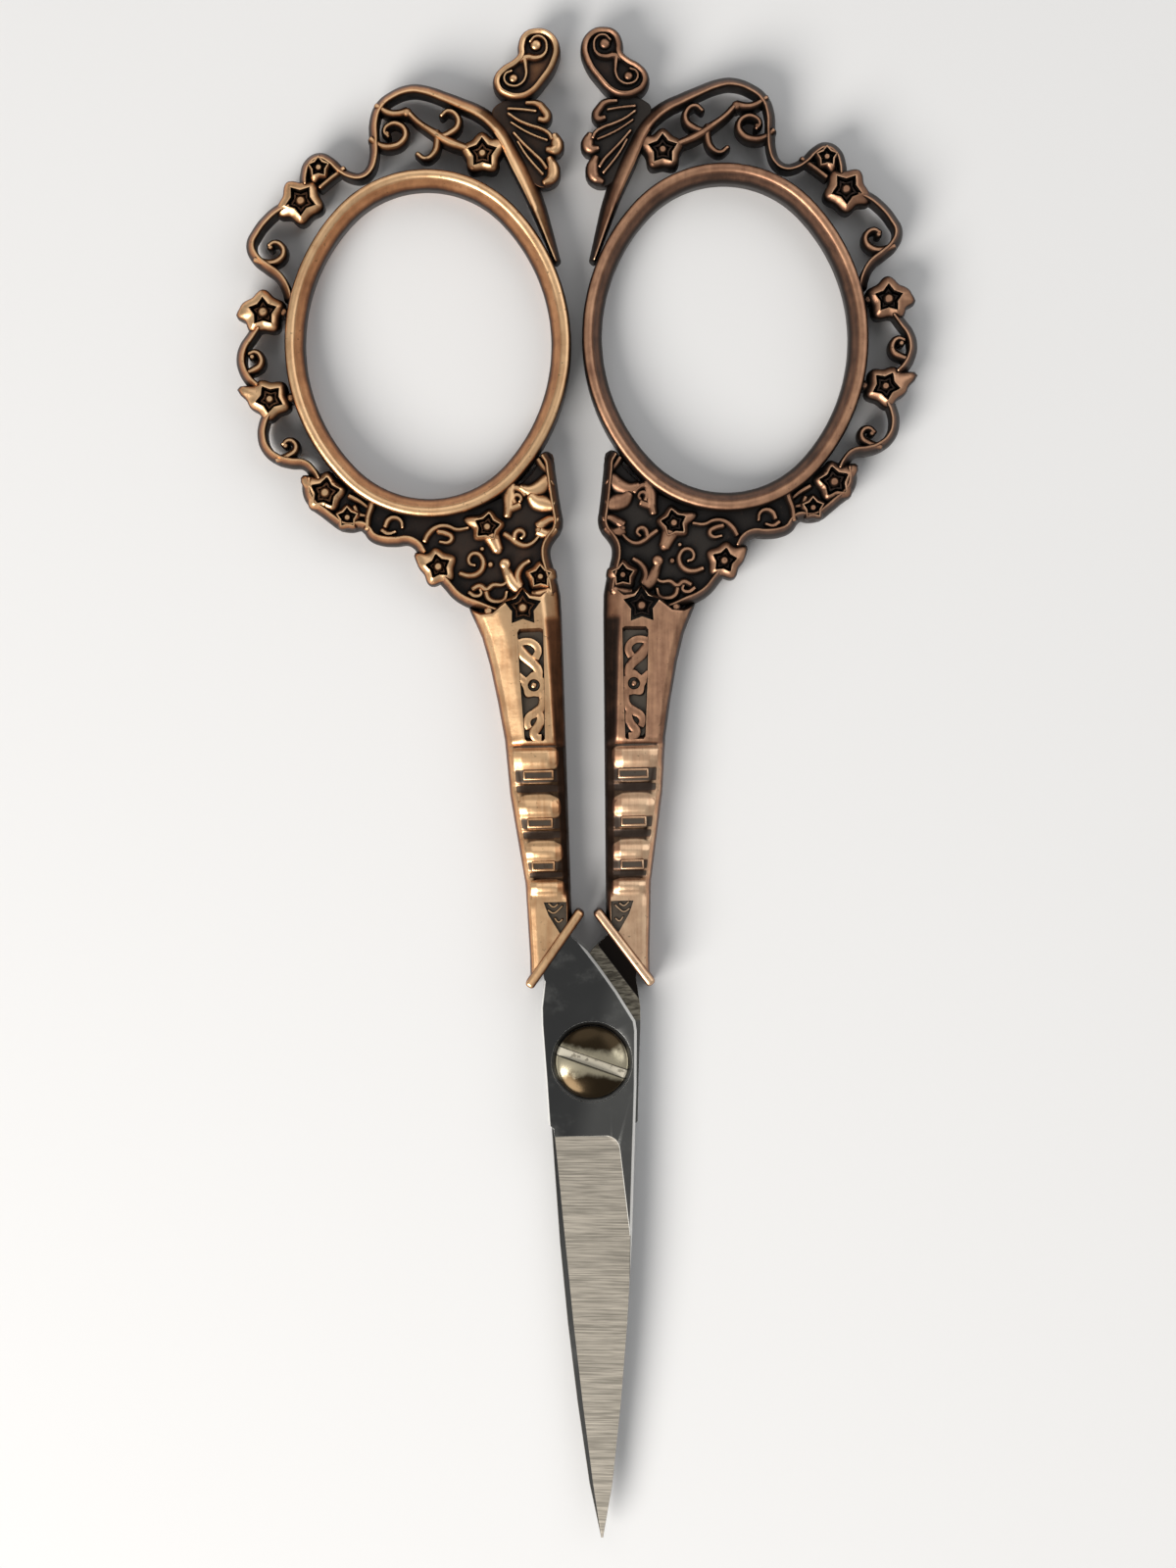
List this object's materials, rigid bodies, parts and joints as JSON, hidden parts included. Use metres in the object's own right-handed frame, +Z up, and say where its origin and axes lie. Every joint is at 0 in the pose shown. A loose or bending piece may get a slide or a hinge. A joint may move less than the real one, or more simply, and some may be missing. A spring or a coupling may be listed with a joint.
{
  "type": "embroidery scissors",
  "caption": "Small ornate embroidery scissors: two slim steel blades on a slotted screw, with openwork cast finger bows in antique copper, lying closed.",
  "frame": {"origin": "under the middle of the closed scissors' length and width, on the table they lie on", "axes": "+Z up off the table, +Y from the blade points towards the finger bows, +X to the right seen from above"},
  "size_m": [0.0558, 0.1249, 0.0046],
  "materials": {
    "blade_steel": "polished stainless steel at the screw, cross-ground bevel with fine lines",
    "antique_copper": "zinc casting plated in antique copper: bright on the ridges, dark oxide in the recesses",
    "screw_steel": "polished plated steel with a warm tone"
  },
  "bodies": {
    "back_half": {"back_blade": "blade_steel", "right_handle": "antique_copper", "pivot_screw": "screw_steel"},
    "front_half": {"front_blade": "blade_steel", "left_handle": "antique_copper"}
  },
  "joints": [
    {"name": "blade_pivot", "type": "hinge", "parent": "back_half", "child": "front_half", "pos_m": [0, -0.02292, 0.0022], "axis": [0, 0, 1], "range_deg": [0, 110]}
  ]
}
